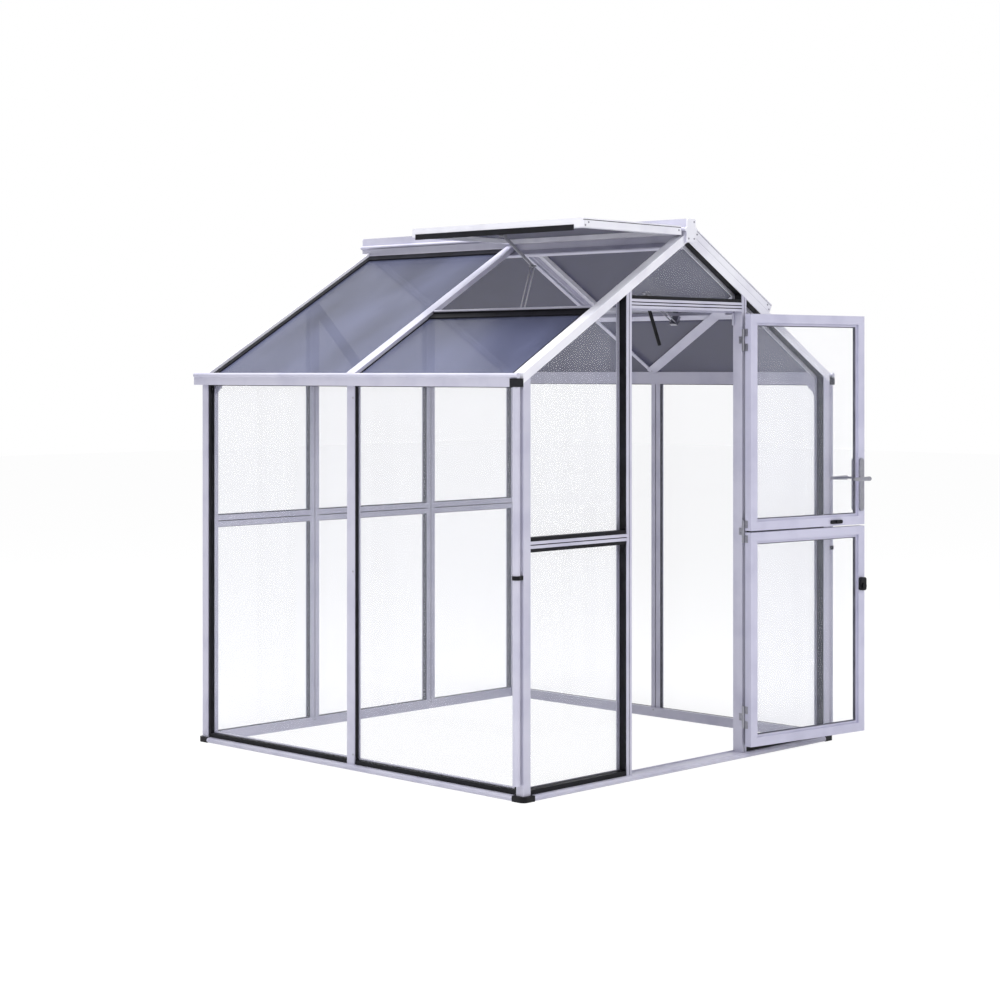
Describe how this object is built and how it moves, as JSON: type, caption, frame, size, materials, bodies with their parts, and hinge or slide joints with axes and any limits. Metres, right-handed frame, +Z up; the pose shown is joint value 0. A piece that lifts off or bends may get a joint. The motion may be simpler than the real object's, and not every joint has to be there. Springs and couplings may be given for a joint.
{
  "type": "glass greenhouse",
  "caption": "Free-standing glass greenhouse with a light metal frame, split stable door hung outward on one post, hinged roof vents on a ridge beam, eaves gutters and downpipes",
  "frame": {"origin": "middle of the front sill's underside, on the ground", "axes": "+Z up, +Y from the door into the building, +X to the right as seen from the door side"},
  "size_m": [2.0355, 2.1443, 2.2217],
  "materials": {
    "frame_aluminium": "satin",
    "door_aluminium": "satin",
    "black_plastic": "matte",
    "glazing_rubber": "matte",
    "clear_glass": "gloss",
    "smoked_glass": "gloss",
    "hinge_metal": "satin"
  },
  "bodies": {
    "house": {"front_sill": "frame_aluminium", "back_sill": "frame_aluminium", "side_sills": "frame_aluminium", "sill_corners": "black_plastic", "corner_posts": "frame_aluminium", "door_posts": "frame_aluminium", "back_posts": "frame_aluminium", "side_posts": "frame_aluminium", "mid_rails": "frame_aluminium", "door_lintel": "frame_aluminium", "gable_rafters": "frame_aluminium", "mid_rafters": "frame_aluminium", "ridge": "frame_aluminium", "gutters": "frame_aluminium", "gutter_outlets": "black_plastic", "downpipes": "frame_aluminium", "pipe_clips": "black_plastic", "eaves_gussets": "frame_aluminium", "vent_sills": "frame_aluminium", "roof_braces": "frame_aluminium", "vent_sides": "frame_aluminium", "vent_rails": "frame_aluminium", "vent_glass": "smoked_glass", "vent_seals": "glazing_rubber", "vent_openers": "hinge_metal", "opener_cylinder": "black_plastic", "front_glass": "clear_glass", "back_glass": "clear_glass", "side_glass": "clear_glass", "roof_glass": "smoked_glass", "wall_strips": "glazing_rubber", "roof_strips": "glazing_rubber", "post_hinges": "hinge_metal"},
    "upper_door": {"upper_door_stiles": "door_aluminium", "upper_door_rails": "door_aluminium", "upper_door_glass": "clear_glass", "upper_door_hinges": "hinge_metal", "handle_plates": "hinge_metal", "leaf_catch": "black_plastic"},
    "handle": {"handle_levers": "hinge_metal"},
    "lower_door": {"lower_door_stiles": "door_aluminium", "lower_door_rails": "door_aluminium", "lower_door_glass": "clear_glass", "lower_door_hinges": "hinge_metal", "lower_door_lock": "black_plastic"}
  },
  "joints": [
    {"name": "upper_door_swing", "type": "hinge", "parent": "house", "child": "upper_door", "pos_m": [0.3475, -0.032, 1.4], "axis": [0, 0, 1], "range_deg": [-172.5, 0]},
    {"name": "lower_door_swing", "type": "hinge", "parent": "house", "child": "lower_door", "pos_m": [0.3475, -0.032, 0.5], "axis": [0, 0, 1], "range_deg": [-172.5, 0]},
    {"name": "lever_turn", "type": "hinge", "parent": "upper_door", "child": "handle", "pos_m": [1.00553, -0.14385, 1.144], "axis": [-0.1305, -0.9914, 0], "range_deg": [0, 40], "stiffness_Nm_per_rad": 2}
  ]
}
